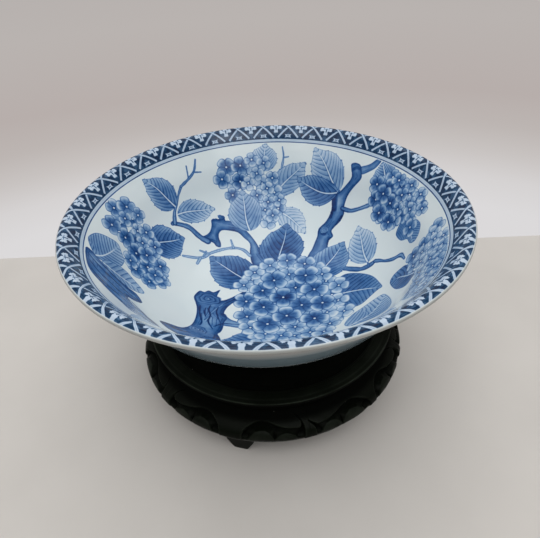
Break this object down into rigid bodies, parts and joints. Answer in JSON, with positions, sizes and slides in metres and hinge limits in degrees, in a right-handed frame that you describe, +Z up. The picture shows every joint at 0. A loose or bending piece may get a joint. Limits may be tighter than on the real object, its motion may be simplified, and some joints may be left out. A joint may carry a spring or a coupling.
{
  "type": "porcelain bowl on stand",
  "caption": "Wide porcelain bowl with a flared, thick-lipped rim and a foot ring, resting in the recessed top of a round carved dark wood stand on short tapered feet.",
  "frame": {"origin": "on the floor, under the middle of the stand and the bowl", "axes": "+Z up through the middle of bowl and stand, -Y towards the viewer of the picture, +X to the viewer's right"},
  "size_m": [0.243, 0.243, 0.1374],
  "materials": {
    "glazed_porcelain": "clear gloss glaze over blue painting on pale porcelain",
    "black_wood": "satin black stain, worn slightly on the carved edges",
    "plain_wood": "bare turned dowel"
  },
  "bodies": {
    "stand": {"seat_board": "black_wood", "collar_ring": "black_wood", "belt_segment_1": "black_wood", "belt_segment_2": "black_wood", "belt_segment_3": "black_wood", "belt_segment_4": "black_wood", "belt_segment_5": "black_wood", "belt_segment_6": "black_wood", "foot_1": "black_wood", "foot_2": "black_wood", "foot_3": "black_wood", "foot_dowel_1": "plain_wood", "foot_dowel_2": "plain_wood", "foot_dowel_3": "plain_wood"},
    "bowl": {"bowl": "glazed_porcelain"}
  },
  "joints": [
    {"name": "bowl_lift", "type": "slide", "parent": "stand", "child": "bowl", "axis": [0, 0, 1], "range_m": [0, 0.12]}
  ]
}
